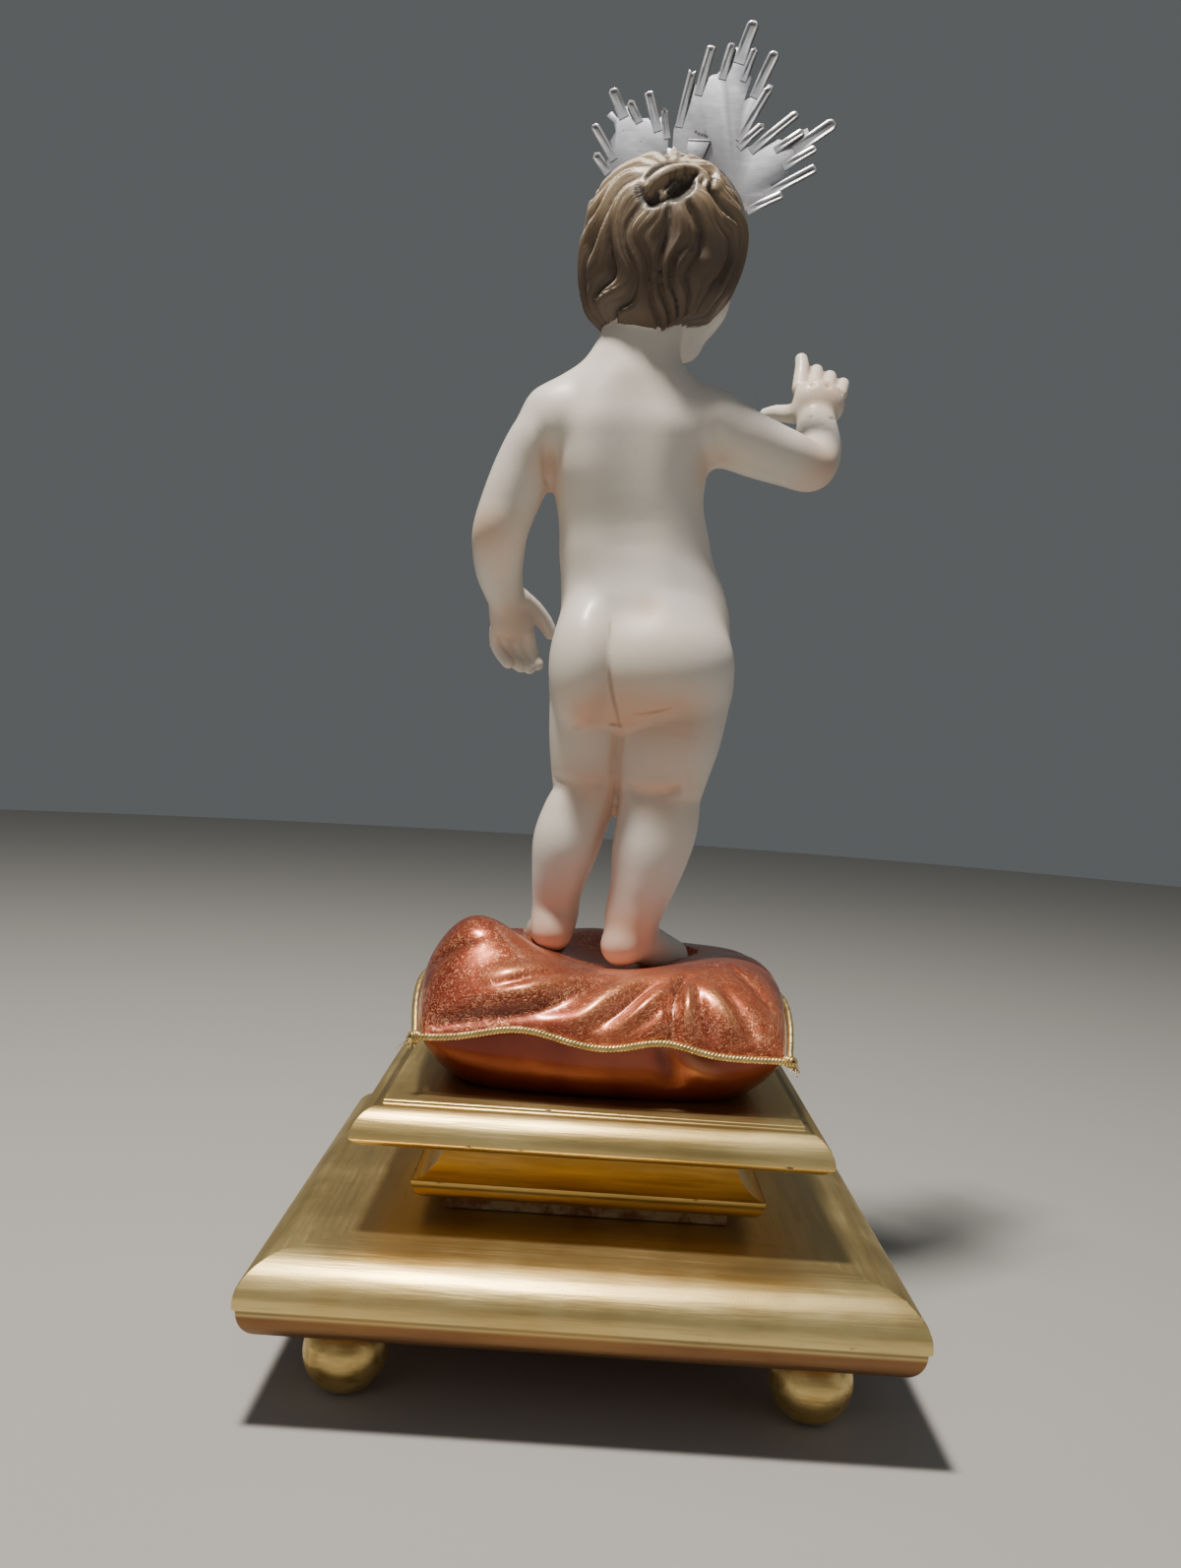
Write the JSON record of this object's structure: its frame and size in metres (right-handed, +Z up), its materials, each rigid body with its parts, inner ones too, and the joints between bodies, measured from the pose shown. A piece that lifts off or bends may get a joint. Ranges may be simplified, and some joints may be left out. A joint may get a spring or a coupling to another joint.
{
  "type": "carved devotional child figurine on a gilded base",
  "caption": "Carved and painted infant figure standing on a cushion, one hand raised, with a sheet-metal ray halo, on a stepped gilded square base with ball feet.",
  "frame": {"origin": "on the floor, under the middle of the part's bounding box, where the ball feet stand", "axes": "+Z up, the figure faces -Y with its back toward +Y, and its raised right hand is on the -X side"},
  "size_m": [0.32, 0.32, 0.734],
  "materials": {
    "gilded_wood": "burnished gold leaf over red bole, worn at the edges",
    "red_glaze": "carved wood with a copper-red glaze over metal leaf",
    "gold_cord": "twisted gilt cord",
    "flesh_paint": "carved wood with a satin ivory flesh paint and painted brown hair",
    "silver_sheet": "thin silvery sheet, satin with bright rolled edges"
  },
  "bodies": {
    "root": {"ball_foot_1": "gilded_wood", "ball_foot_2": "gilded_wood", "ball_foot_3": "gilded_wood", "ball_foot_4": "gilded_wood", "lower_board": "gilded_wood", "waist_block": "gilded_wood", "upper_board": "gilded_wood", "cushion": "red_glaze", "seam_cord": "gold_cord", "child_figure": "flesh_paint", "halo": "silver_sheet"}
  },
  "joints": []
}
